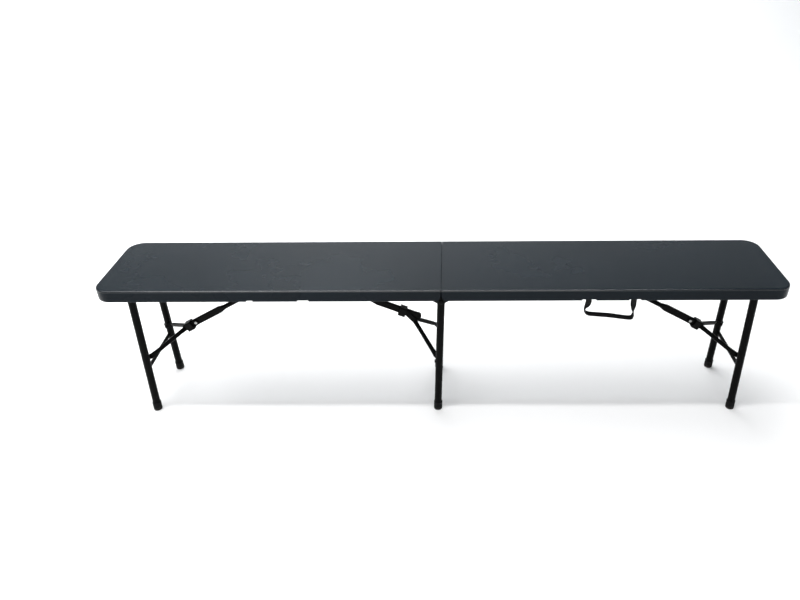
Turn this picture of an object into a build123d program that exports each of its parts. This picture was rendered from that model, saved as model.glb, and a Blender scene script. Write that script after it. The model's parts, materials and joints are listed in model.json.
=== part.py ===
from build123d import *
from math import cos, degrees, atan2, acos, hypot, radians, sin, tan
import os

# Bench that folds in half: two moulded seat halves on steel rails, joined by a hinge rod,
# with a leg frame under each end, a third leg frame on the hinge, and a folding brace to
# each frame. X runs along the bench, Y from its front to its back, Z up. The origin is on
# the floor under the middle of the seam. Millimetres. The bench is shown open.

# Overall size
LENGTH = 1820.0
WIDTH = 280.0
HEIGHT = 430.0

# Seat half: a shallow tray turned upside down
PANEL_THICKNESS = 33.5
RIM_WALL = 11.0
RECESS_DEPTH = 17.0
CORNER_RADIUS = 43.0
TOP_EDGE_RADIUS = 5.0
RIM_EDGE_RADIUS = 2.5
SEAM_GAP = 0.3
SEAM_CORNER_RADIUS = 5.0
SEAM_BREAK = 1.2
SEAM_VEE_HALF_WIDTH = 8.0
SEAM_VEE_DEPTH = 15.5
SEAM_WALL_RELIEF = 2.5
CHANNEL_DEPTH = 7.5
CHANNEL_HALF_WIDTH = 20.0
CHANNEL_SPAN = (330.0, 812.0)
NOTCH_DEPTH = 4.5
TACK_OFF_RADIUS = 9.0
TACK_OFF_TIP_RADIUS = 5.0
TACK_OFF_DEPTH = 6.5
TACK_OFF_ROWS = (45.0, 84.0)
TACK_OFF_COLUMNS = 9
TACK_OFF_SPAN = (64.0, 792.0)

# Rails under each half: rectangular tube
RAIL_INNER_Y = 112.4
RAIL_OUTER_Y = 121.4
RAIL_HEIGHT = 22.0
RAIL_WALL = 1.5
RAIL_SPAN = (34.0, 868.0)
PLUG_DEPTH = 14.5
RAIL_SCREW_STATIONS = (110.0, 300.0, 560.0, 760.0)
SCREW_RADIUS = 2.2
SCREW_DEPTH = 10.0
SCREW_HEAD_RADIUS = 4.5
SCREW_HEAD_HEIGHT = 2.2
SCREW_HEAD_TAPER = 0.7

# Hinge between the halves
HINGE_Z = 387.0
HINGE_PLATE = 2.8
HINGE_EYE_RADIUS = 11.0
HINGE_NECK = (7.5, 6.5)
HINGE_HEEL_X = 26.0
HINGE_SHOULDER_X = (12.0, 15.0)
HINGE_PLATE_STEP = 2.0
HINGE_PLATE_END = 95.0
ROD_RADIUS = 4.0
ROD_HEAD_RADIUS = 7.0
ROD_HEAD_HEIGHT = 3.6
LEG_ROD_HEAD_RADIUS = 6.3
LEG_ROD_HEAD_HEIGHT = 2.2
DOME_SHOULDER = 0.45
DOME_CROWN = 0.62

# Leg frames
LEG_TUBE_RADIUS = 10.5
LEG_TUBE_WALL = 1.5
LEG_SPLAY = 2.39
LEG_TOP_Y = 82.3
END_PIVOT = (838.0, 401.0)
END_LEAN = 1.0
END_BRACE_REACH = 229.0
END_BAR_REACH = 265.0
CENTRE_PIVOT = (0.0, HINGE_Z)
CENTRE_LEAN = -2.07
CENTRE_BRACE_REACH = 221.0
CENTRE_BAR_REACH = 243.0
BAR_RADIUS = 5.25
FOOT_HEIGHT = 26.0
FOOT_TOP_RADIUS = 12.2
FOOT_BOTTOM_RADIUS = 12.45
FOOT_SOLE = 6.0
BUSH_LENGTH = 12.0

# Folding braces: an anchor bar, a link, two arms, a rivet at the knee and a sliding lock ring
ANCHOR = (415.0, 408.2)
ANCHOR_RADIUS = 4.5
COLLAR_RADIUS = 7.0
COLLAR_SPAN = (5.6, 9.6)
EYE_RADIUS = 7.0
EYE_TAB = (0.2, 5.2)
LINK_RADIUS = 6.75
LINK_WIDE = 21.0
LINK_FLAT = 8.0
LINK_FLAT_EDGE = 2.6
LINK_TAIL = 46.0
LINK_TAB_END = 24.0
LINK_TUBE_START = 44.0
LINK_TUBE_STOP = 104.0
LINK_FLAT_START = 86.0
CENTRE_LINK_FOLDED_SLOPE = 4.5
CENTRE_LINK_SHORTER = 1.5
ARM_PLATE_WIDTH = 14.5
ARM_PLATE = 3.0
ARM_RADIUS = 6.2
ARM_TAPER = 0.17
ARM_KNEE_PLATE = 36.0
ARM_LEG_PLATE = 16.0
ARM_LEG_GAP = 1.2
KNEE_RIVET_RADIUS = 3.0
KNEE_HEAD_RADIUS = 4.4
KNEE_HEAD_HEIGHT = 1.7
ARM_RIVET_RADIUS = 2.5
ARM_RIVET_HEAD_RADIUS = 4.5
ARM_RIVET_HEAD_HEIGHT = 2.0
RING_LENGTH = 20.0
RING_INNER = (-13.2, 10.7)
RING_OUTER = (-14.8, 12.2)
RING_CORNER_RADIUS = 3.0
RING_INNER_HALF_WIDTH = 9.8
RING_OUTER_HALF_WIDTH = 12.0
END_RING_OFFSET = 24.0
CENTRE_RING_OFFSET = -10.0

# Webbing carry strap on the front rim of the right half
LEFT_NOTCHES = ((346.0, 376.0), (492.0, 509.0))
RIGHT_NOTCHES = ((366.0, 403.0), (488.0, 519.0))
STRAP_TOPS = (384.5, 498.5)
STRAP_WIDTH = 16.0
STRAP_THICKNESS = 2.0
STRAP_TOP_Y = -137.5
STRAP_LOW_Y = -132.8
STRAP_LOW_WIDTH = 14.0
STRAP_LOW_THICKNESS = 2.4
STRAP_FOLD = (4.0, 11.0)
STRAP_BEND_RADIUS = 4.0
STRAP_ROUTE = (
    (377.5, 369.0),
    (379.0, 355.5),
    (392.0, 351.5),
    (450.0, 344.5),
    (492.0, 338.5),
    (501.0, 340.0),
    (503.5, 353.0),
)
STRAP_CLAMP = 1.5
STRAP_CLAMP_LENGTH = 20.0
STRAP_CLAMP_Y = (-136.0, -129.5)
STRAP_SCREW_Y = -132.5
STRAP_SCREW_RADIUS = 1.7
STRAP_SCREW_HEAD_RADIUS = 3.0
STRAP_SCREW_HEAD_HEIGHT = 1.6

# Clearances between pieces
GAP = 0.3
FIT = 0.05
RUNNING_FIT = 0.06

RIM_Z = HEIGHT - PANEL_THICKNESS
CEILING_Z = RIM_Z + RECESS_DEPTH
RAIL_BOTTOM_Z = CEILING_Z - RAIL_HEIGHT
RAIL_MIDDLE_Y = (RAIL_INNER_Y + RAIL_OUTER_Y) / 2
NOTCH_Z = RIM_Z + NOTCH_DEPTH

# Reach of the cutting shapes: far beyond a piece, and just past one face
TOOL = 60.0
PAST = 1.0


def box(x_span, y_span, z_span):
    """Box between two values on each axis."""
    centre = [sum(span) / 2 for span in (x_span, y_span, z_span)]
    sides = [span[1] - span[0] for span in (x_span, y_span, z_span)]
    return Pos(*centre) * Box(*sides)


def rod(start, end, radius):
    """Cylinder from one point to another."""
    axis = Vector(*end) - Vector(*start)
    return extrude(Plane(origin=start, z_dir=axis) * Circle(radius), axis.length)


def cone(start, end, start_radius, end_radius):
    """Cone from one point to another."""
    axis = Vector(*end) - Vector(*start)
    first = Plane(origin=start, z_dir=axis) * Circle(start_radius)
    last = Plane(origin=end, z_dir=axis) * Circle(end_radius)
    return loft([first, last])


def plate(outline, y_span):
    """Plate with an outline drawn in X and Z, between two values of Y."""
    plane = Plane(origin=(0, y_span[1], 0), x_dir=(1, 0, 0), z_dir=(0, -1, 0))
    return extrude(plane * outline, y_span[1] - y_span[0])


def dome(centre, direction, radius, height):
    """Low round head on a flat seat, pointing along Y."""
    x, y, z = centre
    middle = (x, y + direction * height * DOME_SHOULDER, z)
    top = (x, y + direction * height, z)
    return rod(centre, middle, radius) + cone(middle, top, radius, radius * DOME_CROWN)


def group(pieces):
    """Several separate solids kept as one node."""
    return Compound(children=[solid for piece in pieces for solid in piece.solids()])


def to_front(piece):
    """The same piece on the front side of the bench."""
    return mirror(piece, about=Plane.XZ)


def to_left(piece):
    """The same piece on the left half of the bench."""
    return mirror(piece, about=Plane.YZ)


# Seat halves and their rails


def rounded_slab(x_span, half_width, radius, z_span):
    """Slab whose two far corners are rounded in plan."""
    outline = Rectangle(x_span[1] - x_span[0], 2 * half_width)
    far_corners = outline.vertices().group_by(Axis.X)[-1]
    outline = fillet(far_corners, radius)
    middle = (x_span[0] + x_span[1]) / 2
    return extrude(Pos(middle, 0, z_span[0]) * outline, z_span[1] - z_span[0])


def seam_cutter():
    """Everything past the seam, with the broken top edge and the vee under it."""
    face = SEAM_GAP / 2
    outline = Polygon(
        (-TOOL, RIM_Z - TOOL),
        (SEAM_VEE_HALF_WIDTH, RIM_Z - TOOL),
        (SEAM_VEE_HALF_WIDTH, RIM_Z),
        (face, RIM_Z + SEAM_VEE_DEPTH),
        (face, HEIGHT - SEAM_BREAK),
        (face + SEAM_BREAK, HEIGHT),
        (face + SEAM_BREAK, HEIGHT + TOOL),
        (-TOOL, HEIGHT + TOOL),
        align=None,
    )
    return plate(outline, (-WIDTH, WIDTH))


def seam_corner_cutters():
    """What rounds a half's two upright corners at the seam."""
    face = SEAM_GAP / 2
    z_span = (RIM_Z - PAST, HEIGHT + PAST)
    middle_x = face + SEAM_CORNER_RADIUS
    cutters = []
    for side in (-1, 1):
        inner, outer = sorted((side * (WIDTH / 2 - SEAM_CORNER_RADIUS), side * (WIDTH / 2 + PAST)))
        middle_y = side * (WIDTH / 2 - SEAM_CORNER_RADIUS)
        low, high = ((middle_x, middle_y, z) for z in z_span)
        corner = box((face - PAST, middle_x), (inner, outer), z_span)
        cutters.append(corner - rod(low, high, SEAM_CORNER_RADIUS))
    return cutters


def tack_offs():
    """Cones where the lower skin is pressed up to meet the upper skin."""
    first, last = TACK_OFF_SPAN
    pitch = (last - first) / (TACK_OFF_COLUMNS - 1)
    cones = []
    for column in range(TACK_OFF_COLUMNS):
        for row in TACK_OFF_ROWS:
            for side in (-1, 1):
                x = first + column * pitch
                foot = (x, side * row, CEILING_Z)
                tip = (x, side * row, CEILING_Z + TACK_OFF_DEPTH)
                cones.append(cone(foot, tip, TACK_OFF_RADIUS, TACK_OFF_TIP_RADIUS))
    return cones


def rail_screw_holes():
    """Blind holes in the underside of a right-hand half for its rail screws."""
    holes = []
    for x in RAIL_SCREW_STATIONS:
        for side in (-1, 1):
            y = side * RAIL_MIDDLE_Y
            top = CEILING_Z + SCREW_DEPTH + FIT
            holes.append(rod((x, y, CEILING_Z), (x, y, top), SCREW_RADIUS + FIT))
    return holes


def panel(notches):
    """Seat half to the right of the seam."""
    half_width = WIDTH / 2
    end = LENGTH / 2
    shell = rounded_slab((-TOOL, end), half_width, CORNER_RADIUS, (RIM_Z, HEIGHT))
    top_edges = shell.edges().group_by(Axis.Z)[-1].filter_by(lambda e: e.center().X > -TOOL / 2)
    shell = fillet(top_edges, TOP_EDGE_RADIUS)
    rim_edges = shell.edges().group_by(Axis.Z)[0].filter_by(lambda e: e.center().X > -TOOL / 2)
    shell = fillet(rim_edges, RIM_EDGE_RADIUS)
    shell -= seam_cutter()
    inner_width = half_width - RIM_WALL
    inner_end = end - RIM_WALL
    shell -= rounded_slab(
        (RIM_WALL, inner_end), inner_width, CORNER_RADIUS - RIM_WALL, (RIM_Z - PAST, CEILING_Z)
    )
    relief = (RIM_Z - PAST, RIM_Z + SEAM_WALL_RELIEF)
    shell -= box((-PAST, RIM_WALL + PAST), (-inner_width, inner_width), relief)
    channel_y = (-CHANNEL_HALF_WIDTH, CHANNEL_HALF_WIDTH)
    shell -= box(CHANNEL_SPAN, channel_y, (CEILING_Z - PAST, CEILING_Z + CHANNEL_DEPTH))
    for cutter in seam_corner_cutters() + tack_offs() + rail_screw_holes():
        shell -= cutter
    for notch in notches:
        shell -= box(notch, (-half_width - PAST, -inner_width + PAST), (RIM_Z - PAST, NOTCH_Z))
    return shell


def rail():
    """Rail at the back of the right half."""
    outer_y = (RAIL_INNER_Y, RAIL_OUTER_Y)
    inner_y = (RAIL_INNER_Y + RAIL_WALL, RAIL_OUTER_Y - RAIL_WALL)
    tube = box(RAIL_SPAN, outer_y, (RAIL_BOTTOM_Z, CEILING_Z))
    tube -= box(
        (RAIL_SPAN[0] - PAST, RAIL_SPAN[1] + PAST),
        inner_y,
        (RAIL_BOTTOM_Z + RAIL_WALL, CEILING_Z - RAIL_WALL),
    )
    x, z = END_PIVOT
    tube -= rod((x, RAIL_INNER_Y - PAST, z), (x, RAIL_OUTER_Y + PAST, z), ROD_RADIUS + FIT)
    for station in RAIL_SCREW_STATIONS:
        start = (station, RAIL_MIDDLE_Y, RAIL_BOTTOM_Z - PAST)
        finish = (station, RAIL_MIDDLE_Y, CEILING_Z + PAST)
        tube -= rod(start, finish, SCREW_RADIUS + FIT)
    return tube


def rail_plug():
    """Plastic plug in the outer end of the rear right rail."""
    flange_y = (RAIL_INNER_Y, RAIL_OUTER_Y)
    inner_y = (RAIL_INNER_Y + RAIL_WALL + FIT, RAIL_OUTER_Y - RAIL_WALL - FIT)
    inner_z = (RAIL_BOTTOM_Z + RAIL_WALL + FIT, CEILING_Z - RAIL_WALL - FIT)
    end = RAIL_SPAN[1]
    flange = box((end, end + RAIL_WALL), flange_y, (RAIL_BOTTOM_Z, CEILING_Z))
    return flange + box((end - PLUG_DEPTH, end), inner_y, inner_z)


def rail_screws():
    """Pan-head screws that hold the right half's two rails, heads below."""
    screws = []
    for x in RAIL_SCREW_STATIONS:
        for side in (-1, 1):
            y = side * RAIL_MIDDLE_Y
            seat = (x, y, RAIL_BOTTOM_Z)
            tip = (x, y, CEILING_Z + SCREW_DEPTH)
            crown = (x, y, RAIL_BOTTOM_Z - SCREW_HEAD_HEIGHT)
            head = cone(seat, crown, SCREW_HEAD_RADIUS, SCREW_HEAD_RADIUS * SCREW_HEAD_TAPER)
            screws.append(rod(seat, tip, SCREW_RADIUS) + head)
    return group(screws)


def headed_rod(x, z, half_length, head_radius, head_height):
    """Pivot rod along Y with a low head at each end."""
    piece = rod((x, -half_length, z), (x, half_length, z), ROD_RADIUS)
    for side in (-1, 1):
        piece += dome((x, side * half_length, z), side, head_radius, head_height)
    return piece


def hinge_plate(y_span):
    """Rear hinge plate of the right half: an eye on the hinge rod and a tail along the rail."""
    ceiling = CEILING_Z - 2 * GAP
    under_seam = RIM_Z - 2 * GAP
    tail = Polygon(
        (0, HINGE_Z),
        (HINGE_NECK[0], HINGE_Z - HINGE_NECK[1]),
        (HINGE_HEEL_X, RAIL_BOTTOM_Z),
        (HINGE_PLATE_END, RAIL_BOTTOM_Z + HINGE_PLATE_STEP),
        (HINGE_PLATE_END, ceiling),
        (HINGE_SHOULDER_X[1], ceiling),
        (HINGE_SHOULDER_X[0], under_seam),
        (0, under_seam),
        align=None,
    )
    return plate(tail + Pos(0, HINGE_Z) * Circle(HINGE_EYE_RADIUS), y_span)


def hinge_pad(y_span):
    """Packing between a rail and the hinge plate that stands off it."""
    z_span = (RAIL_BOTTOM_Z + HINGE_PLATE_STEP, CEILING_Z - 2 * GAP)
    return box((RAIL_SPAN[0] + PAST, HINGE_PLATE_END), y_span, z_span)


def hinge_hole(piece, radius):
    """Bore a hinge plate on the hinge axis."""
    return piece - rod((0, 0, HINGE_Z), (0, WIDTH / 2, HINGE_Z), radius)


def anchor_bar():
    """Cross bar between the right rails, with two collars that keep the links in the middle."""
    x, z = ANCHOR
    bar = rod((x, -RAIL_INNER_Y, z), (x, RAIL_INNER_Y, z), ANCHOR_RADIUS)
    for side in (-1, 1):
        near, far = (side * y for y in COLLAR_SPAN)
        bar += rod((x, near, z), (x, far, z), COLLAR_RADIUS)
    return bar


# Leg frames


class Leg:
    """Leg frame that hangs from a pivot; lean moves its feet along X, in degrees."""

    def __init__(self, pivot, lean, tube_half_length, brace_reach, bar_reach, bar_side):
        self.x, self.z = pivot
        self.lean = radians(lean)
        self.half_length = tube_half_length
        self.brace_reach = brace_reach
        self.bar_reach = bar_reach
        self.bar_side = bar_side

    def point(self, reach):
        """Point on the rear tube's axis at a distance below the pivot, seen along Y."""
        drop = reach * cos(self.lean)
        x = self.x + reach * sin(self.lean)
        return (x, LEG_TOP_Y + drop * tan(radians(LEG_SPLAY)), self.z - drop)

    def reach_to(self, height):
        """Distance below the pivot at which the leg is at a height."""
        return (self.z - height) / cos(self.lean)

    def pivot_tube(self):
        start = (self.x, -self.half_length, self.z)
        finish = (self.x, self.half_length, self.z)
        tube = rod(start, finish, LEG_TUBE_RADIUS)
        return tube - rod(start, finish, LEG_TUBE_RADIUS - LEG_TUBE_WALL)

    def bushes(self):
        pieces = []
        for side in (-1, 1):
            start = (self.x, side * self.half_length, self.z)
            finish = (self.x, side * (self.half_length - BUSH_LENGTH), self.z)
            bush = rod(start, finish, LEG_TUBE_RADIUS - LEG_TUBE_WALL - FIT)
            pieces.append(bush - rod(start, finish, ROD_RADIUS + RUNNING_FIT))
        return group(pieces)

    def leg_tube(self):
        """Rear leg tube, shaped at its top to the pivot tube."""
        start = self.point(0)
        finish = self.point(self.reach_to(FOOT_SOLE + PAST))
        tube = rod(start, finish, LEG_TUBE_RADIUS)
        tube -= rod(start, finish, LEG_TUBE_RADIUS - LEG_TUBE_WALL)
        side_rod = ((self.x, 0, self.z), (self.x, WIDTH / 2, self.z))
        return tube - rod(*side_rod, LEG_TUBE_RADIUS)

    def foot(self):
        """Cap on the rear leg tube, cut level on the floor."""
        top = self.point(self.reach_to(FOOT_HEIGHT))
        below = self.point(self.reach_to(-2 * PAST))
        cap = cone(top, below, FOOT_TOP_RADIUS, FOOT_BOTTOM_RADIUS)
        sole = self.point(self.reach_to(FOOT_SOLE))
        above = self.point(self.reach_to(FOOT_HEIGHT + 2 * PAST))
        cap -= rod(above, sole, LEG_TUBE_RADIUS + FIT)
        floor = box((self.x - TOOL, self.x + TOOL), (0, WIDTH), (-TOOL, 0))
        return cap - floor

    def cross_bar(self):
        """Bar between the two leg tubes, flush with their outer sides."""
        x, y, z = self.point(self.bar_reach)
        offset = self.bar_side * (LEG_TUBE_RADIUS - BAR_RADIUS)
        x += offset * cos(self.lean)
        z += offset * sin(self.lean)
        bar = rod((x, -y, z), (x, y, z), BAR_RADIUS)
        tube = rod(self.point(0), self.point(self.reach_to(0)), LEG_TUBE_RADIUS)
        bar = bar - tube - to_front(tube)
        return bar.solids().sort_by(SortBy.VOLUME)[-1]

    def nodes(self, name):
        return {
            f"{name}_leg_pivot_tube": self.pivot_tube(),
            f"{name}_leg_bushes": self.bushes(),
            f"{name}_leg_front_tube": to_front(self.leg_tube()),
            f"{name}_leg_rear_tube": self.leg_tube(),
            f"{name}_leg_cross_bar": self.cross_bar(),
            f"{name}_leg_feet": group([self.foot(), to_front(self.foot())]),
        }


END_LEG = Leg(END_PIVOT, END_LEAN, RAIL_INNER_Y - GAP, END_BRACE_REACH, END_BAR_REACH, 1)
CENTRE_LEG = Leg(
    CENTRE_PIVOT, CENTRE_LEAN, RAIL_OUTER_Y - GAP, CENTRE_BRACE_REACH, CENTRE_BAR_REACH, 1
)


# Braces. Each is drawn with its anchor on the left and its leg on the right.


def flat(vector):
    """Length of a vector in X and Z."""
    return hypot(vector[0], vector[1])


def end_lengths():
    """Link and arm lengths that are straight when open and level with the seat when folded."""
    x, _, z = END_LEG.point(END_BRACE_REACH)
    open_length = flat((x - ANCHOR[0], z - ANCHOR[1]))
    folded_x = END_PIVOT[0] - END_BRACE_REACH - ANCHOR[0]
    folded_z = END_PIVOT[1] - ANCHOR[1]
    link = open_length**2 - flat((folded_x, folded_z)) ** 2
    link /= 2 * (open_length - folded_x)
    return link, open_length - link


LINK_LENGTH, END_ARM_LENGTH = end_lengths()


CENTRE_LINK_LENGTH = LINK_LENGTH - CENTRE_LINK_SHORTER


def centre_arm_length():
    """Arm length that lets the middle leg lie flat under its folded link."""
    slope = radians(CENTRE_LINK_FOLDED_SLOPE)
    knee_x = -ANCHOR[0] + CENTRE_LINK_LENGTH * cos(slope)
    knee_z = ANCHOR[1] - CENTRE_LINK_LENGTH * sin(slope)
    return flat((knee_x + CENTRE_BRACE_REACH, knee_z - HINGE_Z))


CENTRE_ARM_LENGTH = centre_arm_length()


class Brace:
    """Brace from an anchor to a leg, with its knee above the straight line between them."""

    def __init__(self, anchor, leg, lengths, tab_span, ring_offset):
        self.anchor = anchor
        self.link_length, self.arm_length = lengths
        self.tab_span = tab_span
        self.ring_offset = ring_offset
        x, y, z = leg.point(leg.brace_reach)
        self.end = (x, z)
        span = flat((x - anchor[0], z - anchor[1]))
        cosine = self.link_length**2 + span**2 - self.arm_length**2
        cosine /= 2 * self.link_length * span
        lift = degrees(acos(min(1.0, cosine)))
        self.slope = degrees(atan2(anchor[1] - z, x - anchor[0])) - lift
        self.knee = (
            anchor[0] + self.link_length * cos(radians(self.slope)),
            anchor[1] - self.link_length * sin(radians(self.slope)),
        )
        self.arm_slope = degrees(atan2(self.knee[1] - z, x - self.knee[0]))
        self.arm_outer_y = y - LEG_TUBE_RADIUS / cos(radians(LEG_SPLAY)) - ARM_LEG_GAP

    def on_link(self, piece):
        """Place a piece drawn along X from the anchor."""
        return Pos(self.anchor[0], 0, self.anchor[1]) * Rot(0, self.slope, 0) * piece

    def on_arm(self, piece):
        """Place a piece drawn along X from the knee."""
        return Pos(self.knee[0], 0, self.knee[1]) * Rot(0, self.arm_slope, 0) * piece

    def link(self):
        """Tube with a flat eye on the anchor bar and a wide flat end past the knee."""
        tab_middle = sum(self.tab_span) / 2
        tab_depth = self.tab_span[1] - self.tab_span[0]
        tube_end = self.link_length - LINK_TUBE_STOP
        flat_start = self.link_length - LINK_FLAT_START
        tip = self.link_length + LINK_TAIL - LINK_WIDE / 2
        eye = Circle(EYE_RADIUS)
        eye += Pos(LINK_TAB_END / 2, 0) * Rectangle(LINK_TAB_END, 2 * EYE_RADIUS)
        piece = plate(eye, self.tab_span)
        tab_plane = Plane(origin=(LINK_TAB_END, tab_middle, 0), x_dir=(0, 1, 0), z_dir=(1, 0, 0))
        tab_section = tab_plane * Rectangle(tab_depth, 2 * EYE_RADIUS)
        tube_plane = Plane(origin=(LINK_TUBE_START, 0, 0), x_dir=(0, 1, 0), z_dir=(1, 0, 0))
        piece += loft([tab_section, tube_plane * Circle(LINK_RADIUS)])
        piece += rod((LINK_TUBE_START, 0, 0), (tube_end, 0, 0), LINK_RADIUS)
        round_plane = Plane(origin=(tube_end, 0, 0), x_dir=(0, 1, 0), z_dir=(1, 0, 0))
        flat_plane = Plane(origin=(flat_start, 0, 0), x_dir=(0, 1, 0), z_dir=(1, 0, 0))
        flat_section = flat_plane * RectangleRounded(LINK_FLAT, LINK_WIDE, LINK_FLAT_EDGE)
        piece += loft([round_plane * Circle(LINK_RADIUS), flat_section])
        piece += extrude(flat_section, tip - flat_start)
        piece += plate(Pos(tip, 0) * Circle(LINK_WIDE / 2), (-LINK_FLAT / 2, LINK_FLAT / 2))
        piece -= rod((0, -TOOL, 0), (0, TOOL, 0), ANCHOR_RADIUS + RUNNING_FIT)
        piece -= rod((self.link_length, -TOOL, 0), (self.link_length, TOOL, 0), KNEE_RIVET_RADIUS + FIT)
        return self.on_link(piece)

    def knee_rivet(self):
        arm_face = LINK_FLAT / 2 + GAP + ARM_PLATE
        seat = arm_face + GAP
        x = self.link_length
        piece = rod((x, -seat, 0), (x, seat, 0), KNEE_RIVET_RADIUS)
        for side in (-1, 1):
            piece += dome((x, side * seat, 0), side, KNEE_HEAD_RADIUS, KNEE_HEAD_HEIGHT)
        return self.on_link(piece)

    def lock_ring(self):
        """Rectangular collar that slides along the link and holds the knee straight."""
        middle = self.link_length + self.ring_offset
        span = (middle - RING_LENGTH / 2, middle + RING_LENGTH / 2)
        outer_y = (-RING_OUTER_HALF_WIDTH, RING_OUTER_HALF_WIDTH)
        inner_y = (-RING_INNER_HALF_WIDTH, RING_INNER_HALF_WIDTH)
        outer = box(span, outer_y, RING_OUTER)
        outer = fillet(outer.edges().filter_by(Axis.X), RING_CORNER_RADIUS)
        ring = outer - box((span[0] - PAST, span[1] + PAST), inner_y, RING_INNER)
        return self.on_link(ring)

    def arm(self):
        """Rear arm: flat beside the link at the knee, a round tube, and flat on the leg."""
        half = ARM_PLATE_WIDTH / 2
        knee_y = (LINK_FLAT / 2 + GAP, LINK_FLAT / 2 + GAP + ARM_PLATE)
        leg_y = (self.arm_outer_y - ARM_PLATE, self.arm_outer_y)
        leg_start = self.arm_length - ARM_LEG_PLATE
        knee_end = Circle(half)
        knee_end += Pos(ARM_KNEE_PLATE / 2, 0) * Rectangle(ARM_KNEE_PLATE, ARM_PLATE_WIDTH)
        leg_end = Pos(self.arm_length, 0) * Circle(half)
        leg_end += Pos(self.arm_length - ARM_LEG_PLATE / 2, 0) * Rectangle(
            ARM_LEG_PLATE, ARM_PLATE_WIDTH
        )
        start = Vector(ARM_KNEE_PLATE, sum(knee_y) / 2, 0)
        finish = Vector(leg_start, sum(leg_y) / 2, 0)
        run = finish - start
        first = start + run * ARM_TAPER
        last = finish - run * ARM_TAPER
        across = (0, 0, 1)
        knee_face = Plane(origin=start, x_dir=across, z_dir=(1, 0, 0))
        leg_face = Plane(origin=finish, x_dir=across, z_dir=(1, 0, 0))
        first_face = Plane(origin=first, x_dir=across, z_dir=run)
        last_face = Plane(origin=last, x_dir=across, z_dir=run)
        section = Rectangle(ARM_PLATE_WIDTH, ARM_PLATE)
        piece = plate(knee_end, knee_y) + plate(leg_end, leg_y)
        piece += loft([knee_face * section, first_face * Circle(ARM_RADIUS)])
        piece += rod(first, last, ARM_RADIUS)
        piece += loft([last_face * Circle(ARM_RADIUS), leg_face * section])
        piece -= rod((0, 0, 0), (0, WIDTH, 0), KNEE_RIVET_RADIUS + RUNNING_FIT)
        inner, outer = ((self.arm_length, y, 0) for y in (leg_y[0] - PAST, leg_y[1] + PAST))
        piece -= rod(inner, outer, ARM_RIVET_RADIUS + FIT)
        return self.on_arm(piece)

    def arm_rivet(self):
        """Rivet at the rear arm's leg end, with its head on the inner side."""
        inner = self.arm_outer_y - ARM_PLATE
        x = self.arm_length
        tip = self.arm_outer_y + ARM_LEG_GAP - GAP
        shank = rod((x, inner, 0), (x, tip, 0), ARM_RIVET_RADIUS)
        head = dome((x, inner, 0), -1, ARM_RIVET_HEAD_RADIUS, ARM_RIVET_HEAD_HEIGHT)
        return self.on_arm(shank + head)

    def nodes(self, name):
        return {
            f"{name}_brace_link": self.link(),
            f"{name}_brace_arm_front": to_front(self.arm()),
            f"{name}_brace_arm_rear": self.arm(),
            f"{name}_knee_rivet": self.knee_rivet(),
            f"{name}_arm_rivets": group([self.arm_rivet(), to_front(self.arm_rivet())]),
            f"{name}_lock_ring": self.lock_ring(),
        }


END_BRACE = Brace(
    ANCHOR,
    END_LEG,
    (LINK_LENGTH, END_ARM_LENGTH),
    EYE_TAB,
    END_RING_OFFSET,
)
CENTRE_BRACE = Brace(
    (-ANCHOR[0], ANCHOR[1]),
    CENTRE_LEG,
    (CENTRE_LINK_LENGTH, CENTRE_ARM_LENGTH),
    (-EYE_TAB[1], -EYE_TAB[0]),
    CENTRE_RING_OFFSET,
)


# Carry strap


def strap_limb(top_x, corner):
    """Side of the strap, flat on the rim at its top and turned edge-on at its corner."""
    top = Pos(top_x, STRAP_TOP_Y, NOTCH_Z - STRAP_CLAMP - 2 * GAP)
    low = Pos(corner[0], STRAP_LOW_Y, corner[1])
    broad = Rectangle(STRAP_WIDTH, STRAP_THICKNESS)
    return loft([top * broad, low * Rectangle(*STRAP_FOLD)])


def carry_strap():
    """Loop of webbing below the rim; its low side slopes down to the right."""
    band = trace(FilletPolyline(*STRAP_ROUTE, radius=STRAP_BEND_RADIUS), STRAP_LOW_THICKNESS)
    low_half = STRAP_LOW_WIDTH / 2
    loop = plate(band, (STRAP_LOW_Y - low_half, STRAP_LOW_Y + low_half))
    loop += strap_limb(STRAP_TOPS[0], STRAP_ROUTE[0])
    loop += strap_limb(STRAP_TOPS[1], STRAP_ROUTE[-1])
    return loop


def strap_clamps():
    """Small plates that pin the strap's ends up into the rim notches."""
    clamps = []
    half = STRAP_CLAMP_LENGTH / 2
    z_span = (NOTCH_Z - STRAP_CLAMP, NOTCH_Z)
    for x in STRAP_TOPS:
        low, high = ((x, STRAP_SCREW_Y, z) for z in (z_span[0] - PAST, z_span[1] + PAST))
        hole = rod(low, high, STRAP_SCREW_RADIUS + FIT)
        clamps.append(box((x - half, x + half), STRAP_CLAMP_Y, z_span) - hole)
    return group(clamps)


def strap_screws():
    """Screws through the strap clamps into the rim."""
    screws = []
    for x in STRAP_TOPS:
        seat = (x, STRAP_SCREW_Y, NOTCH_Z - STRAP_CLAMP)
        tip = (x, STRAP_SCREW_Y, NOTCH_Z + SCREW_DEPTH)
        crown = (x, STRAP_SCREW_Y, NOTCH_Z - STRAP_CLAMP - STRAP_SCREW_HEAD_HEIGHT)
        crown_radius = STRAP_SCREW_HEAD_RADIUS * SCREW_HEAD_TAPER
        head = cone(seat, crown, STRAP_SCREW_HEAD_RADIUS, crown_radius)
        screws.append(rod(seat, tip, STRAP_SCREW_RADIUS) + head)
    return group(screws)


def strap_screw_holes():
    """Blind holes in the rim for the strap screws."""
    holes = []
    for x in STRAP_TOPS:
        low = (x, STRAP_SCREW_Y, NOTCH_Z - PAST)
        high = (x, STRAP_SCREW_Y, NOTCH_Z + SCREW_DEPTH + FIT)
        holes.append(rod(low, high, STRAP_SCREW_RADIUS + FIT))
    return holes


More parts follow.
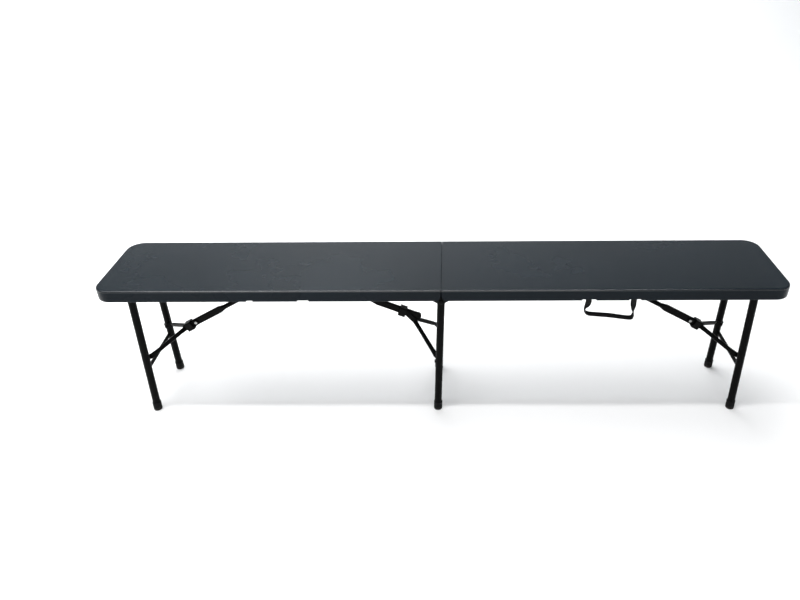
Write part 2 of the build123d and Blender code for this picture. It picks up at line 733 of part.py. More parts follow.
def half_nodes():
    """Seat halves with their rails, hinge plates and fasteners."""
    right_panel = panel(RIGHT_NOTCHES)
    for hole in strap_screw_holes():
        right_panel -= hole
    left_panel = to_left(panel(LEFT_NOTCHES))
    inner_plate_y = (RAIL_OUTER_Y, RAIL_OUTER_Y + HINGE_PLATE)
    outer_plate_y = (inner_plate_y[1] + GAP, inner_plate_y[1] + GAP + HINGE_PLATE)
    right_plate = hinge_hole(hinge_plate(inner_plate_y), ROD_RADIUS + RUNNING_FIT)
    left_plate = hinge_plate(outer_plate_y) + hinge_pad((RAIL_OUTER_Y, outer_plate_y[0]))
    left_plate = to_left(hinge_hole(left_plate, ROD_RADIUS + FIT))
    rear_rail = rail()
    plugs = group([rail_plug(), to_front(rail_plug())])
    leg_rod = headed_rod(*END_PIVOT, RAIL_OUTER_Y, LEG_ROD_HEAD_RADIUS, LEG_ROD_HEAD_HEIGHT)
    return {
        "left_panel": left_panel,
        "right_panel": right_panel,
        "left_rail_front": to_left(to_front(rear_rail)),
        "left_rail_rear": to_left(rear_rail),
        "right_rail_front": to_front(rear_rail),
        "right_rail_rear": rear_rail,
        "left_rail_plugs": to_left(plugs),
        "right_rail_plugs": plugs,
        "left_rail_screws": to_left(rail_screws()),
        "right_rail_screws": rail_screws(),
        "left_hinge_plate_front": to_front(left_plate),
        "left_hinge_plate_rear": left_plate,
        "right_hinge_plate_front": to_front(right_plate),
        "right_hinge_plate_rear": right_plate,
        "hinge_rod": headed_rod(0, HINGE_Z, outer_plate_y[1], ROD_HEAD_RADIUS, ROD_HEAD_HEIGHT),
        "left_pivot_rod": to_left(leg_rod),
        "right_pivot_rod": leg_rod,
        "left_anchor_bar": to_left(anchor_bar()),
        "right_anchor_bar": anchor_bar(),
        "strap_clamps": strap_clamps(),
        "strap_screws": strap_screws(),
        "carry_strap": carry_strap(),
    }


def bench_nodes():
    """Every piece of the bench by name."""
    nodes = half_nodes()
    right_end = {**END_LEG.nodes("right"), **END_BRACE.nodes("right")}
    nodes.update(right_end)
    for name, piece in right_end.items():
        nodes[name.replace("right", "left")] = to_left(piece)
    nodes.update(CENTRE_LEG.nodes("centre"))
    nodes.update(CENTRE_BRACE.nodes("centre"))
    return nodes


os.makedirs("parts", exist_ok=True)
NODES = bench_nodes()
for node_name, node in NODES.items():
    export_step(node, f"parts/{node_name}.step")
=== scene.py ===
import json
import math
import random

import bmesh
import bpy
from mathutils import Matrix, Vector


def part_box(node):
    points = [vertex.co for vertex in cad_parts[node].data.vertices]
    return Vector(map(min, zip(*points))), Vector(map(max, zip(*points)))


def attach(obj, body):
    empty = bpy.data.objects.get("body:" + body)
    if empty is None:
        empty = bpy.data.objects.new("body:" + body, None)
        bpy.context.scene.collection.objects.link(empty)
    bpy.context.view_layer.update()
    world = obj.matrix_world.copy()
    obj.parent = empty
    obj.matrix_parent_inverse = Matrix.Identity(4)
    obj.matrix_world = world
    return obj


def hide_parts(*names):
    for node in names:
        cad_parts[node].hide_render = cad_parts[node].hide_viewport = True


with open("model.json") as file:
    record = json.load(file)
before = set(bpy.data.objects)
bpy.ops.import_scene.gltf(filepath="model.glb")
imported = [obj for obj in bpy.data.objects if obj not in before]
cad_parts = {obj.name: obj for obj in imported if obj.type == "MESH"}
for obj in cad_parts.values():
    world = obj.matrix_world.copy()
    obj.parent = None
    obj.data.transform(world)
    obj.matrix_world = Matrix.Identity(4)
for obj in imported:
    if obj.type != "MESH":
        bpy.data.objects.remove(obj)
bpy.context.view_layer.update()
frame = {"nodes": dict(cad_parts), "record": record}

MM = 0.001
SIDES = ("left", "centre", "right")
ENDS = (-1, 1)


# Node graphs


class Graph:
    """Short names for the nodes that the materials here are made of."""

    def __init__(self, name):
        self.material = bpy.data.materials.new(name)
        self.material.use_nodes = True
        self.tree = self.material.node_tree
        self.shader = self.tree.nodes["Principled BSDF"]
        self.place = self.tree.nodes.new("ShaderNodeTexCoord").outputs["Object"]

    def add(self, kind, **settings):
        """New node of a kind, with its settings."""
        node = self.tree.nodes.new(kind)
        for key, value in settings.items():
            setattr(node, key, value)
        return node

    def feed(self, socket, value):
        """Link a socket, or set it to a number or a colour."""
        if isinstance(value, bpy.types.NodeSocket):
            self.tree.links.new(value, socket)
        else:
            socket.default_value = value

    def stretch(self, factors):
        """Object coordinates scaled along each axis."""
        node = self.add("ShaderNodeMapping")
        self.feed(node.inputs["Vector"], self.place)
        node.inputs["Scale"].default_value = factors
        return node.outputs["Vector"]

    def noise(self, scale, detail=3.0, roughness=0.5, source=None):
        """Cloudy pattern in object coordinates, or in stretched ones."""
        node = self.add("ShaderNodeTexNoise")
        self.feed(node.inputs["Vector"], source or self.place)
        node.inputs["Scale"].default_value = scale
        node.inputs["Detail"].default_value = detail
        node.inputs["Roughness"].default_value = roughness
        return node.outputs["Fac"]

    def cells(self, scale):
        """Pattern of soft round cells."""
        node = self.add("ShaderNodeTexVoronoi", feature="SMOOTH_F1")
        self.feed(node.inputs["Vector"], self.place)
        node.inputs["Scale"].default_value = scale
        return node.outputs["Distance"]

    def maths(self, operation, first, second=0.5, third=0.5):
        """Result of one operation on values or sockets."""
        node = self.add("ShaderNodeMath", operation=operation)
        for socket, value in zip(node.inputs, (first, second, third)):
            self.feed(socket, value)
        return node.outputs["Value"]

    def spread(self, value, low, high, to_low=0.0, to_high=1.0):
        """Map a range of values to another, clamped."""
        node = self.add("ShaderNodeMapRange")
        self.feed(node.inputs["Value"], value)
        limits = (low, high, to_low, to_high)
        for name, limit in zip(("From Min", "From Max", "To Min", "To Max"), limits):
            node.inputs[name].default_value = limit
        return node.outputs["Result"]

    def mix(self, factor, first, second):
        """Colour between two others."""
        node = self.add("ShaderNodeMix", data_type="RGBA")
        self.feed(node.inputs["Factor"], factor)
        self.feed(node.inputs["A"], first)
        self.feed(node.inputs["B"], second)
        return node.outputs["Result"]

    def axes(self):
        """Object coordinates, one socket for each axis."""
        node = self.add("ShaderNodeSeparateXYZ")
        self.feed(node.inputs["Vector"], self.place)
        return node.outputs

    def bump(self, height, strength, distance, under=None):
        """Surface direction from a height, on top of another bump if given."""
        node = self.add("ShaderNodeBump")
        node.inputs["Strength"].default_value = strength
        node.inputs["Distance"].default_value = distance
        self.feed(node.inputs["Height"], height)
        if under:
            self.feed(node.inputs["Normal"], under)
        return node.outputs["Normal"]

    def finish(self, **inputs):
        """Set the shader's inputs; underscores in a name stand for spaces."""
        for name, value in inputs.items():
            self.feed(self.shader.inputs[name.replace("_", " ")], value)
        return self.material


def grey(level, blue=0.0):
    """Colour near grey, with more blue and less red as asked."""
    return (level * (1 - blue), level, level * (1 + blue), 1.0)


# Materials


# Depths below the seat's top between which its upper edge is polished: start and full, twice
POLISH_LOWER = (5.2 * MM, 3.8 * MM)
POLISH_UPPER = (0.4 * MM, 1.2 * MM)
POLISH_ROUGHNESS_DROP = 0.13
SEAT_SHINE = 0.1
POLISH_SHINE = 0.85


def seat_plastic():
    """Dark slate polyethylene with a fine pebble, polished a little on its edges."""
    g = Graph("seat_plastic")
    patches = g.noise(3.2, 4.0, 0.6)
    height = g.axes()["Z"]
    seat_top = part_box("left_panel")[1].z
    grain = g.cells(620.0)
    fine = g.noise(1500.0, 2.0)
    pebble = g.maths("ADD", grain, g.maths("MULTIPLY", fine, 0.35))
    scuffs = g.noise(38.0, 6.0, 0.72, g.stretch((0.4, 3.0, 1.0)))
    marks = g.spread(scuffs, 0.6, 0.78)
    slate = g.mix(g.spread(patches, 0.3, 0.7), grey(0.0085, 0.42), grey(0.0112, 0.45))
    colour = g.mix(g.maths("MULTIPLY", marks, 0.05), slate, grey(0.02, 0.3))
    colour = g.mix(g.spread(grain, 0.25, 0.75, 0.0, 0.3), colour, grey(0.0065, 0.4))
    gloss = g.maths("ADD", g.spread(patches, 0.3, 0.7, 0.24, 0.3), g.maths("MULTIPLY", marks, 0.01))
    above, below = (
        g.spread(height, seat_top - start, seat_top - full)
        for start, full in (POLISH_LOWER, POLISH_UPPER)
    )
    polish = g.maths("MULTIPLY", above, below)
    gloss = g.maths("SUBTRACT", gloss, g.maths("MULTIPLY", polish, POLISH_ROUGHNESS_DROP))
    shine = g.maths("ADD", g.maths("MULTIPLY", polish, POLISH_SHINE), SEAT_SHINE)
    waves = g.bump(g.noise(7.0, 2.0), 0.14, 0.0016)
    normal = g.bump(pebble, 0.42, 0.00025, waves)
    return g.finish(Base_Color=colour, Roughness=gloss, Normal=normal, Specular_IOR_Level=shine)


def powder_coat(name, level, gloss):
    """Black baked coating: orange peel, faint dust and fine rubbed lines."""
    g = Graph(name)
    dust = g.noise(45.0, 5.0, 0.65)
    rubbed = g.noise(240.0, 3.0, 0.6, g.stretch((0.25, 1.0, 1.0)))
    colour = g.mix(g.spread(dust, 0.45, 0.8), grey(level), grey(level * 1.8))
    colour = g.mix(g.spread(rubbed, 0.66, 0.8, 0.0, 0.5), colour, grey(level * 3.0))
    rough = g.spread(dust, 0.3, 0.8, gloss, gloss + 0.14)
    peel = g.bump(g.noise(900.0, 2.0), 0.22, 0.00012)
    return g.finish(Base_Color=colour, Roughness=rough, Normal=peel, Specular_IOR_Level=0.05)


def moulded_rubber(name, level):
    """Matt black moulding with a fine sparkle and a worn, dusty sole."""
    g = Graph(name)
    speckle = g.noise(620.0, 4.0, 0.6)
    height = g.axes()["Z"]
    dirt = g.maths("MULTIPLY", g.spread(height, 0.012, 0.0, 0.0, 1.0), g.noise(160.0, 5.0, 0.7))
    colour = g.mix(g.spread(speckle, 0.4, 0.75), grey(level), grey(level * 1.8))
    colour = g.mix(g.maths("MULTIPLY", dirt, 0.8), colour, (0.075, 0.068, 0.06, 1.0))
    rough = g.spread(speckle, 0.3, 0.8, 0.52, 0.7)
    normal = g.bump(speckle, 0.35, 0.0002)
    return g.finish(Base_Color=colour, Roughness=rough, Normal=normal, Specular_IOR_Level=0.1)


def bright_metal():
    """Zinc plate: bright, with a cloudy film and fine lines."""
    g = Graph("bright_metal")
    cloud = g.noise(180.0, 5.0, 0.6)
    lines = g.noise(900.0, 2.0, 0.5, g.stretch((1.0, 0.15, 1.0)))
    colour = g.mix(g.spread(cloud, 0.3, 0.75), (0.52, 0.52, 0.50, 1.0), (0.30, 0.31, 0.31, 1.0))
    rough = g.spread(cloud, 0.3, 0.8, 0.24, 0.46)
    normal = g.bump(lines, 0.2, 0.0001)
    return g.finish(Base_Color=colour, Metallic=1.0, Roughness=rough, Normal=normal)


def webbing():
    """Black polyester webbing: zigzag yarns, laid by the strip's own map, with painted shade in the
    hollows of the weave.
    """
    g = Graph("strap_webbing")
    uv = g.add("ShaderNodeUVMap", uv_map="strip").outputs["UV"]
    split = g.add("ShaderNodeSeparateXYZ")
    g.feed(split.inputs["Vector"], uv)
    across, along = split.outputs["X"], split.outputs["Y"]
    zigzag = g.maths("PINGPONG", across, 0.125)
    phase = g.maths("ADD", g.maths("MULTIPLY", zigzag, 26.0), g.maths("MULTIPLY", along, 900.0))
    yarn = g.maths("SINE", g.maths("MULTIPLY", phase, math.tau), 0.0)
    rows = g.maths("SINE", g.maths("MULTIPLY", across, math.tau * 16.0), 0.0)
    weave = g.maths("ADD", g.maths("MULTIPLY", yarn, 0.35), g.maths("MULTIPLY", rows, 0.15))
    fuzz = g.noise(2600.0, 3.0, 0.6)
    height = g.maths("ADD", g.maths("ADD", weave, 0.5), g.maths("MULTIPLY", fuzz, 0.3))
    # Colour follows the weave height: its low points are painted darker, which is painted shade
    # between the yarns; the fuzz part adds a random tone.
    colour = g.mix(g.spread(height, 0.2, 1.1), grey(0.0025), grey(0.009, 0.03))
    normal = g.bump(height, 0.7, 0.0004)
    return g.finish(
        Base_Color=colour, Roughness=0.78, Normal=normal, Sheen_Weight=0.03,
        Specular_IOR_Level=0.12,
    )


def thread():
    """Grey-black sewing thread with a twist."""
    g = Graph("strap_thread")
    twist = g.noise(3000.0, 2.0, 0.5, g.stretch((1.0, 1.0, 0.3)))
    colour = g.mix(twist, grey(0.02), grey(0.07))
    return g.finish(Base_Color=colour, Roughness=0.7, Normal=g.bump(twist, 0.5, 0.0002))


def studio_paper(name, level):
    """Pale seamless paper with the faintest unevenness."""
    g = Graph(name)
    cloud = g.noise(0.6, 2.0, 0.4)
    colour = g.mix(cloud, grey(level * 0.985), grey(level))
    return g.finish(Base_Color=colour, Roughness=0.95, Specular_IOR_Level=0.1)


MATERIALS = {
    "seat_plastic": seat_plastic(),
    "black_tube": powder_coat("black_tube", 0.0019, 0.3),
    "ring_steel": powder_coat("ring_steel", 0.0045, 0.28),
    "foot_plastic": moulded_rubber("foot_plastic", 0.0026),
    "black_nylon": moulded_rubber("black_nylon", 0.005),
    "bright_fastener": bright_metal(),
    "webbing": webbing(),
}


def dress_cad_nodes():
    """Give every CAD node the material of its slot."""
    slots = {entry["node"]: entry["material_slot"] for entry in frame["record"]["subparts"]}
    for name, obj in frame["nodes"].items():
        obj.data.materials.clear()
        obj.data.materials.append(MATERIALS[slots[name]])


# Meshes


def put(name, mesh, material):
    """Put a mesh in the scene, smooth shaded, with its material."""
    obj = bpy.data.objects.new(name, mesh)
    bpy.context.scene.collection.objects.link(obj)
    mesh.materials.append(material)
    for face in mesh.polygons:
        face.use_smooth = True
    return obj


def new_piece(name, mesh, body, slot, material=None):
    """Put a mesh in the scene on a body, with its slot's material unless another is given."""
    obj = put(name, mesh, material or MATERIALS[slot])
    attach(obj, body)
    return obj


def mesh_from(name, build):
    """Mesh filled by a function that is given an empty bmesh."""
    grid = bmesh.new()
    build(grid)
    bmesh.ops.recalc_face_normals(grid, faces=grid.faces)
    mesh = bpy.data.meshes.new(name)
    grid.to_mesh(mesh)
    grid.free()
    return mesh


def loft_rings(grid, rings):
    """Skin between rings of points, capped at both ends."""
    loops = [[grid.verts.new(point) for point in ring] for ring in rings]
    for first, second in zip(loops, loops[1:]):
        count = len(first)
        for i in range(count):
            j = (i + 1) % count
            grid.faces.new((first[i], first[j], second[j], second[i]))
    grid.faces.new(loops[0])
    grid.faces.new(loops[-1])


def frame_along(direction):
    """Two unit vectors square to a direction."""
    side = direction.cross(Vector((0, 0, 1)))
    if side.length < 1e-4:
        side = direction.cross(Vector((1, 0, 0)))
    side.normalize()
    return side, direction.cross(side).normalized()


def circle(centre, side, lift, radius, count, wobble=None):
    """Points round a centre; a wobble adds to the radius by the angle."""
    points = []
    for i in range(count):
        angle = math.tau * i / count
        size = radius + (wobble(angle) if wobble else 0.0)
        points.append(centre + side * (math.cos(angle) * size) + lift * (math.sin(angle) * size))
    return points


def turned(grid, start, direction, profile, count):
    """Shape turned about an axis; the profile lists reach and radius in millimetres."""
    side, lift = frame_along(direction)
    rings = []
    for reach, radius in profile:
        centre = start + direction * (reach * MM)
        rings.append(circle(centre, side, lift, radius * MM, count))
    loft_rings(grid, rings)


# Legs: the line of each tube, found from its foot and its pivot


LEG_SPLAY = math.radians(2.39)
FOOT_RADIUS = 12.44 * MM


def leg_line(side_name, way):
    """Point on a leg tube at its pivot's height, unit vector down it, and its floor point."""
    foot_low, foot_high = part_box(f"{side_name}_leg_feet")
    pivot_low, pivot_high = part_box(f"{side_name}_leg_pivot_tube")
    pivot = (pivot_low + pivot_high) / 2
    foot_x = (foot_low.x + foot_high.x) / 2
    foot_y = foot_high.y - FOOT_RADIUS
    top_y = foot_y - pivot.z * math.tan(LEG_SPLAY)
    top = Vector((pivot.x, way * top_y, pivot.z))
    foot = Vector((foot_x, way * foot_y, 0.0))
    return top, (foot - top).normalized(), foot


# Weld beads


BEAD_STEPS = 72
BEAD_AROUND = 10
BEAD_RIPPLES = 18
ALONG_Y = Vector((0, 1, 0))

# Each bead: radius of its ring, half thickness, distance in from the end of its tube
LEG_BEAD = (10.4 * MM, 1.5 * MM, 11.2 * MM)
CROSS_BAR_BEAD = (5.2 * MM, 1.1 * MM, 2.6 * MM)
ANCHOR_BEAD = (4.4 * MM, 0.9 * MM, 1.0 * MM)

# Seeds of the ripples; the front bead of a pair has the seed and the rear one the next
LEG_BEAD_SEED = 11
CROSS_BAR_BEAD_SEED = 31
ANCHOR_BEAD_SEED = 51


def bead(grid, centre, axis, radius, thickness, seed):
    """Ring of overlapping weld ripples round a joint."""
    chance = random.Random(seed)
    side, lift = frame_along(axis)
    ripples = BEAD_RIPPLES + chance.randrange(4)
    shift = chance.random() * math.tau
    loops = []
    for i in range(BEAD_STEPS):
        angle = math.tau * i / BEAD_STEPS
        out = side * math.cos(angle) + lift * math.sin(angle)
        size = thickness * (0.84 + 0.16 * math.cos(ripples * angle + shift))
        middle = centre + out * radius
        loop = []
        for k in range(BEAD_AROUND):
            turn = math.tau * k / BEAD_AROUND
            loop.append(middle + out * (math.cos(turn) * size) + axis * (math.sin(turn) * size))
        loops.append([grid.verts.new(p) for p in loop])
    for i in range(BEAD_STEPS):
        first, second = loops[i], loops[(i + 1) % BEAD_STEPS]
        for k in range(BEAD_AROUND):
            j = (k + 1) % BEAD_AROUND
            grid.faces.new((first[k], first[j], second[j], second[k]))


def leg_bead(grid, side_name, way, seed):
    """Bead where a leg tube meets its pivot tube."""
    radius, thickness, inset = LEG_BEAD
    top, down, _ = leg_line(side_name, way)
    bead(grid, top + down * inset, down, radius, thickness, seed)


def bar_bead(grid, node, shape, way, seed):
    """Bead at one end of a bar that lies along Y."""
    low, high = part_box(node)
    middle = (low + high) / 2
    radius, thickness, inset = shape
    end = Vector((middle.x, way * (high.y - inset), middle.z))
    bead(grid, end, ALONG_Y, radius, thickness, seed)


def make_welds():
    """Beads where each leg frame is welded, and where the anchor bars meet the rails."""
    for side_name in SIDES:

        def build(grid, side_name=side_name):
            bar = f"{side_name}_leg_cross_bar"
            for number, way in enumerate(ENDS):
                leg_bead(grid, side_name, way, LEG_BEAD_SEED + number)
                bar_bead(grid, bar, CROSS_BAR_BEAD, way, CROSS_BAR_BEAD_SEED + number)

        mesh = mesh_from(f"{side_name}_leg_welds", build)
        new_piece(f"{side_name}_leg_welds", mesh, f"{side_name}_leg", "black_tube")
    for half in ("left", "right"):

        def build(grid, half=half):
            bar = f"{half}_anchor_bar"
            for number, way in enumerate(ENDS):
                bar_bead(grid, bar, ANCHOR_BEAD, way, ANCHOR_BEAD_SEED + number)

        mesh = mesh_from(f"{half}_anchor_welds", build)
        new_piece(f"{half}_anchor_welds", mesh, f"{half}_half", "black_tube")


# Feet


FOOT_HEIGHT = 26.0 * MM
FOOT_POINTS = 144
FOOT_RIBS = 24
FOOT_RIB_DEPTH = 0.22 * MM

# Distance down the cap and radius in millimetres: the lip, the ribbed part and the heel
FOOT_LIP = [(0.0, 10.55), (0.0, 11.3), (0.5, 12.0), (1.4, 12.15), (3.0, 12.2), (3.8, 12.05)]
FOOT_RIBBED = [(5.0, 12.05), (12.0, 12.08), (18.5, 12.1)]
FOOT_HEEL = [(19.5, 12.22), (22.6, 12.22), (24.4, 11.9)]
SOLE_RADII = (11.4, 10.2, 6.0)


def rib(angle):
    """Change of a foot cap's radius that cuts its grooves."""
    return -FOOT_RIB_DEPTH * max(0.0, math.cos(FOOT_RIBS * angle))


def foot_cap(grid, side_name, way):
    """Moulded cap: a lip at the top, shallow ribs, and a level rounded sole."""
    top, down, foot = leg_line(side_name, way)
    reach = (foot - top).length
    start = top + down * (reach - FOOT_HEIGHT)
    side, lift = frame_along(down)
    rings = []
    for profile, wobble in ((FOOT_LIP, None), (FOOT_RIBBED, rib), (FOOT_HEEL, None)):
        for along, radius in profile:
            centre = start + down * along * MM
            rings.append(circle(centre, side, lift, radius * MM, FOOT_POINTS, wobble))
    for radius in SOLE_RADII:
        level = circle(foot, side, lift, radius * MM, FOOT_POINTS)
        rings.append([Vector((p.x, p.y, 0.0)) for p in level])
    for ring in rings:
        for point in ring:
            point.z = max(point.z, 0.0)
    loft_rings(grid, rings)


def make_feet():
    """Two caps on each leg frame, in place of its plain feet."""
    for side_name in SIDES:
        name = f"{side_name}_foot_caps"

        def build(grid, side_name=side_name):
            for way in ENDS:
                foot_cap(grid, side_name, way)

        mesh = mesh_from(name, build)
        caps = new_piece(name, mesh, f"{side_name}_leg", "foot_plastic")
        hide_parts(f"{side_name}_leg_feet")


# Buttons on the leg frames


# Leg frame, side of the tube along X, and which tube: rear is 1 and front is -1
BUTTON_PLACES = (("left", -1, 1), ("centre", -1, -1), ("right", 1, 1))
BUTTON_PROFILE = [(8.0, 5.6), (10.9, 5.6), (12.0, 5.3), (13.0, 4.6), (13.6, 3.2), (13.7, 1.0)]
BUTTON_POINTS = 32


def make_leg_buttons():
    """Rubber button on one tube of each leg frame, beside its arm rivet."""
    for side_name, way_x, way in BUTTON_PLACES:
        low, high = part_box(f"{side_name}_arm_rivets")
        middle = (low + high) / 2

        def build(grid, side_name=side_name, way_x=way_x, way=way, middle=middle):
            top, down, _ = leg_line(side_name, way)
            point = top + down * ((top.z - middle.z) / -down.z)
            out = Vector((way_x, 0, 0)) - down * (way_x * down.x)
            out.normalize()
            turned(grid, point, out, BUTTON_PROFILE, BUTTON_POINTS)

        name = f"{side_name}_leg_buttons"
        mesh = mesh_from(name, build)
        new_piece(name, mesh, f"{side_name}_leg", "black_nylon")


# Carry strap, in millimetres


STRAP_WIDTH = 16.0
STRAP_HALF_THICKNESS = 1.1
STRAP_EDGE_ROUNDING = 0.25
STRAP_BULGE = 0.06
STRAP_TILT = 0.26
STRAP_TOP_Y = -137.4
STRAP_LOW_Y = -131.9
STRAP_RISE = 14.0
STRAP_STEPS = 10


def strap_line():
    """Centre line of the strap in millimetres, as points with the turn of its width.

    A turn of 0 lays the width along X; a turn of 1 lays it along Y.
    """
    low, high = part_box("carry_strap")
    left, right = low.x / MM, high.x / MM
    top, bottom = high.z / MM, low.z / MM
    return [
        (left + 8.2, STRAP_TOP_Y, top, 0.0),
        (left + 7.6, STRAP_TOP_Y, top - 9, 0.0),
        (left + 5.4, STRAP_TOP_Y + 0.8, top - 19, 0.12),
        (left + 3.2, STRAP_TOP_Y + 2.6, top - 28, 0.42),
        (left + 1.8, STRAP_LOW_Y - 0.6, top - 36, 0.86),
        (left + 5.5, STRAP_LOW_Y, bottom + STRAP_RISE + 4.5, 1.0),
        (left + 16.0, STRAP_LOW_Y, bottom + STRAP_RISE + 0.5, 1.0),
        (left + 42.0, STRAP_LOW_Y, bottom + STRAP_RISE - 2.0, 1.04),
        (left + 72.0, STRAP_LOW_Y, bottom + STRAP_RISE - 5.2, 0.90),
        (left + 100.0, STRAP_LOW_Y, bottom + STRAP_RISE - 9.6, 1.03),
        (right - 13.0, STRAP_LOW_Y, bottom + 2.0, 1.0),
        (right - 4.2, STRAP_LOW_Y, bottom + 3.4, 1.0),
        (right - 0.6, STRAP_LOW_Y, bottom + 13.0, 0.98),
        (right - 1.2, STRAP_LOW_Y - 1.5, bottom + 24.0, 0.7),
        (right - 3.4, STRAP_TOP_Y + 2.0, bottom + 36.0, 0.3),
        (right - 5.8, STRAP_TOP_Y + 0.6, bottom + 50.0, 0.05),
        (right - 6.2, STRAP_TOP_Y, top, 0.0),
    ]


def catmull(points, steps):
    """Smooth line through points of any length."""
    line = []
    count = len(points)
    for i in range(count - 1):
        p0 = points[max(i - 1, 0)]
        p1, p2 = points[i], points[i + 1]
        p3 = points[min(i + 2, count - 1)]
        for k in range(steps):
            t = k / steps
            line.append(tuple(
                0.5 * (2 * b + (c - a) * t + (2 * a - 5 * b + 4 * c - d) * t * t
                       + (3 * b - a - 3 * c + d) * t ** 3)
                for a, b, c, d in zip(p0, p1, p2, p3)
            ))
    line.append(points[-1])
    return line


def strap_section():
    """Outline of the webbing: flat, with rounded selvedges. Across, then thickness."""
    half = STRAP_WIDTH / 2
    edge = STRAP_HALF_THICKNESS
    turn = half - STRAP_EDGE_ROUNDING
    across = [half - edge, 0.55 * half, 0.0, -0.55 * half, -(half - edge)]
    upper = [(x, edge * (1.0 + STRAP_BULGE * math.cos(3 * x))) for x in across]
    lower = [(-x, -edge) for x in across]
    left_edge = [(-turn, 0.5 * edge), (-half, 0.0), (-turn, -0.5 * edge)]
    right_edge = [(turn, -0.5 * edge), (half, 0.0), (turn, 0.5 * edge)]
    return upper + left_edge + lower + right_edge


def strap_frames():
    """Centre, width direction and face direction at each step along the strap."""
    line = catmull(strap_line(), STRAP_STEPS)
    frames = []
    for i, (x, y, z, turn) in enumerate(line):
        before, after = line[max(i - 1, 0)], line[min(i + 1, len(line) - 1)]
        tangent = Vector(after[:3]) - Vector(before[:3])
        tangent.normalize()
        angle = turn * math.pi / 2
        wide = Vector((math.cos(angle), math.sin(angle), math.sin(angle) * STRAP_TILT))
        wide -= tangent * wide.dot(tangent)
        wide.normalize()
        frames.append((Vector((x, y, z)), wide, wide.cross(tangent).normalized()))
    return frames


def make_strap():
    """Loop of webbing with a map along it, in place of the plain strap."""
    frames = strap_frames()
    section = strap_section()

    def build(grid):
        layer = grid.loops.layers.uv.new("strip")
        rings, lengths, walked = [], [], 0.0
        for i, (centre, wide, face) in enumerate(frames):
            if i:
                walked += (centre - frames[i - 1][0]).length
            lengths.append(walked)
            ring = [centre + wide * across + face * thick for across, thick in section]
            rings.append([grid.verts.new(point * MM) for point in ring])
        count = len(section)
        for i in range(len(rings) - 1):
            for k in range(count):
                j = (k + 1) % count
                quad = grid.faces.new((rings[i][k], rings[i][j], rings[i + 1][j], rings[i + 1][k]))
                corners = ((k, i), (j, i), (j, i + 1), (k, i + 1))
                for loop, (slot, step) in zip(quad.loops, corners):
                    across = section[slot][0] / STRAP_WIDTH + 0.5
                    loop[layer].uv = (across, lengths[step] * MM)
        grid.faces.new(rings[0])
        grid.faces.new(rings[-1])

    strap = new_piece("strap_webbing", mesh_from("strap_webbing", build), "handle", "webbing")
    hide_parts("carry_strap")
    make_stitches(frames)


STITCH_PROFILE = [(-1.1, 0.12), (-0.8, 0.26), (0.0, 0.32), (0.8, 0.26), (1.1, 0.12)]
STITCH_POINTS = 8
STITCH_LIFT = STRAP_HALF_THICKNESS + 0.05
STITCH_COLUMNS = (-5.6, -1.9, 1.9, 5.6)
STITCH_ROWS = 4
STITCH_ROW_STEP = 2.7
CROSS_STITCH_ROWS = (-1.4, 9.6)
CROSS_STITCH_COLUMNS = (-4.2, -1.4, 1.4, 4.2)
SEWN_STEPS = 9


def make_stitches(frames):
    """Rows of thread near each end of the strap, on its outer face."""

    def stitch(grid, centre, along, face):
        turned(grid, (centre + face * STITCH_LIFT) * MM, along, STITCH_PROFILE, STITCH_POINTS)

    def build(grid):
        first_end = frames[2:2 + SEWN_STEPS]
        last_end = frames[-2 - SEWN_STEPS:-2][::-1]
        for run in (first_end, last_end):
            centre, wide, face = run[0]
            down = (run[-1][0] - centre).normalized()
            outward = face if face.y < 0 else -face
            for column in STITCH_COLUMNS:
                for row in range(STITCH_ROWS):
                    middle = centre + wide * column + down * (row * STITCH_ROW_STEP)
                    stitch(grid, middle, down, outward)
            for row in CROSS_STITCH_ROWS:
                for column in CROSS_STITCH_COLUMNS:
                    stitch(grid, centre + wide * column + down * row, wide, outward)

    mesh = mesh_from("strap_stitching", build)
    new_piece("strap_stitching", mesh, "handle", "webbing", thread())


# Stage, light and camera


FLOOR_HALF_WIDTH = 9.0
SWEEP_RADIUS = 1.6
SWEEP_Y = 3.4
WALL_TOP = 6.0
FRONT_Y = -6.0
SWEEP_STEPS = 16
PAPER_LEVEL = 0.92


def make_stage():
    """Seamless paper: a floor that curves up into a wall behind the bench."""

    def build(grid):
        profile = [(FRONT_Y, 0.0), (SWEEP_Y, 0.0)]
        for i in range(1, SWEEP_STEPS + 1):
            angle = math.pi / 2 * i / SWEEP_STEPS
            y = SWEEP_Y + SWEEP_RADIUS * math.sin(angle)
            profile.append((y, SWEEP_RADIUS * (1 - math.cos(angle))))
        profile.append((SWEEP_Y + SWEEP_RADIUS, WALL_TOP))
        rows = []
        for y, z in profile:
            rows.append([grid.verts.new((end * FLOOR_HALF_WIDTH, y, z)) for end in ENDS])
        for first, second in zip(rows, rows[1:]):
            grid.faces.new((first[0], first[1], second[1], second[0]))

    mesh = mesh_from("studio_sweep", build)
    put("studio_sweep", mesh, studio_paper("studio_paper", PAPER_LEVEL))


def area_light(name, place, target, size, power, tint=(1.0, 1.0, 1.0)):
    """Rectangular lamp that points at a target; size in metres, power in watts."""
    light = bpy.data.lights.new(name, "AREA")
    light.shape = "RECTANGLE"
    light.size, light.size_y = size
    light.energy = power
    light.color = tint
    obj = bpy.data.objects.new(name, light)
    obj.location = place
    direction = Vector(target) - Vector(place)
    obj.rotation_euler = direction.to_track_quat("-Z", "Y").to_euler()
    bpy.context.scene.collection.objects.link(obj)


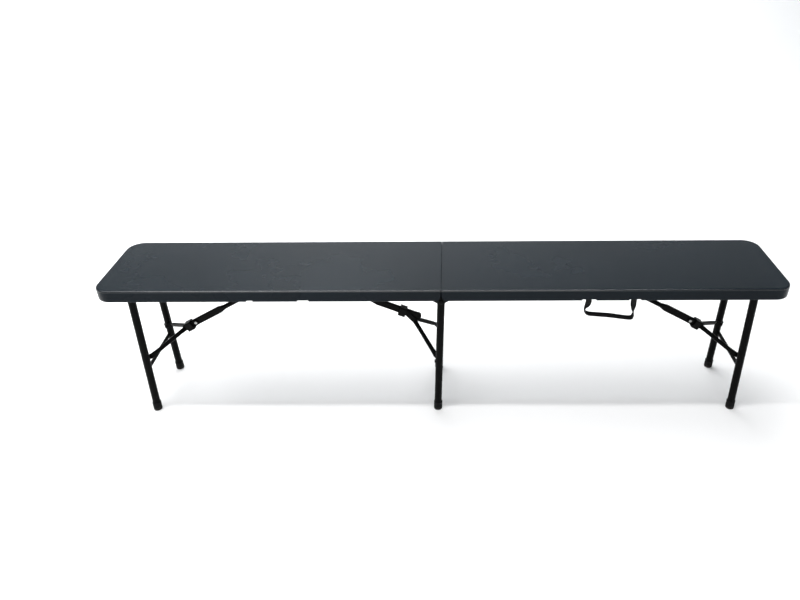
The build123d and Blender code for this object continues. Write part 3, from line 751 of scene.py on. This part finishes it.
def make_lights():
    """Dim pale air, a narrow strip over the front edge, and three soft panels."""
    world = bpy.data.worlds.new("studio_air")
    bpy.context.scene.world = world
    world.use_nodes = True
    air = world.node_tree.nodes["Background"]
    air.inputs["Color"].default_value = (0.95, 0.975, 1.0, 1.0)
    air.inputs["Strength"].default_value = 0.3
    area_light("strip", (-0.1, -0.42, 2.5), (-0.1, -0.1, 0.4), (3.2, 0.1), 28.0)
    area_light("overhead", (-1.6, 1.3, 4.0), (-1.2, 1.0, 0.0), (6.0, 3.8), 285.0)
    area_light("front", (-0.5, -3.4, 3.0), (-0.3, 0.3, 0.0), (4.0, 2.4), 48.0)
    area_light("backdrop", (-0.9, 1.8, 3.6), (-0.9, 4.9, 1.4), (5.0, 1.2), 100.0, (0.88, 0.95, 1.0))


def set_tone():
    """Plain tone curve: near-white paper stays near white and black stays black."""
    bpy.context.scene.view_settings.view_transform = "Standard"
    bpy.context.scene.view_settings.look = "None"


# Camera: place in metres, turns in radians, lens and sensor in millimetres, sideways shift
CAMERA_PLACE = Vector((0.0236, -1.6384, 1.3403))
CAMERA_PITCH = 0.5598
CAMERA_YAW = -0.0124
CAMERA_ROLL = -0.0105
CAMERA_LENS = 30.66
CAMERA_SENSOR = 36.0
CAMERA_SHIFT = -0.0538
CAMERA_FAR = 60.0


def make_camera():
    """Camera in front of the bench, looking down at it."""
    data = bpy.data.cameras.new("camera")
    data.lens = CAMERA_LENS
    data.sensor_width = CAMERA_SENSOR
    data.shift_x = CAMERA_SHIFT
    data.clip_end = CAMERA_FAR
    forward = Vector((
        math.sin(CAMERA_YAW) * math.cos(CAMERA_PITCH),
        math.cos(CAMERA_YAW) * math.cos(CAMERA_PITCH),
        -math.sin(CAMERA_PITCH),
    ))
    level = Vector((math.cos(CAMERA_YAW), -math.sin(CAMERA_YAW), 0.0))
    upward = level.cross(forward)
    right = level * math.cos(CAMERA_ROLL) + upward * math.sin(CAMERA_ROLL)
    above = upward * math.cos(CAMERA_ROLL) - level * math.sin(CAMERA_ROLL)
    turn = Matrix((right, above, -forward)).transposed().to_4x4()
    obj = bpy.data.objects.new("camera", data)
    obj.matrix_world = Matrix.Translation(CAMERA_PLACE) @ turn
    bpy.context.scene.collection.objects.link(obj)
    bpy.context.scene.camera = obj


set_tone()
make_camera()
make_stage()
make_lights()
dress_cad_nodes()
make_welds()
make_feet()
make_leg_buttons()
make_strap()
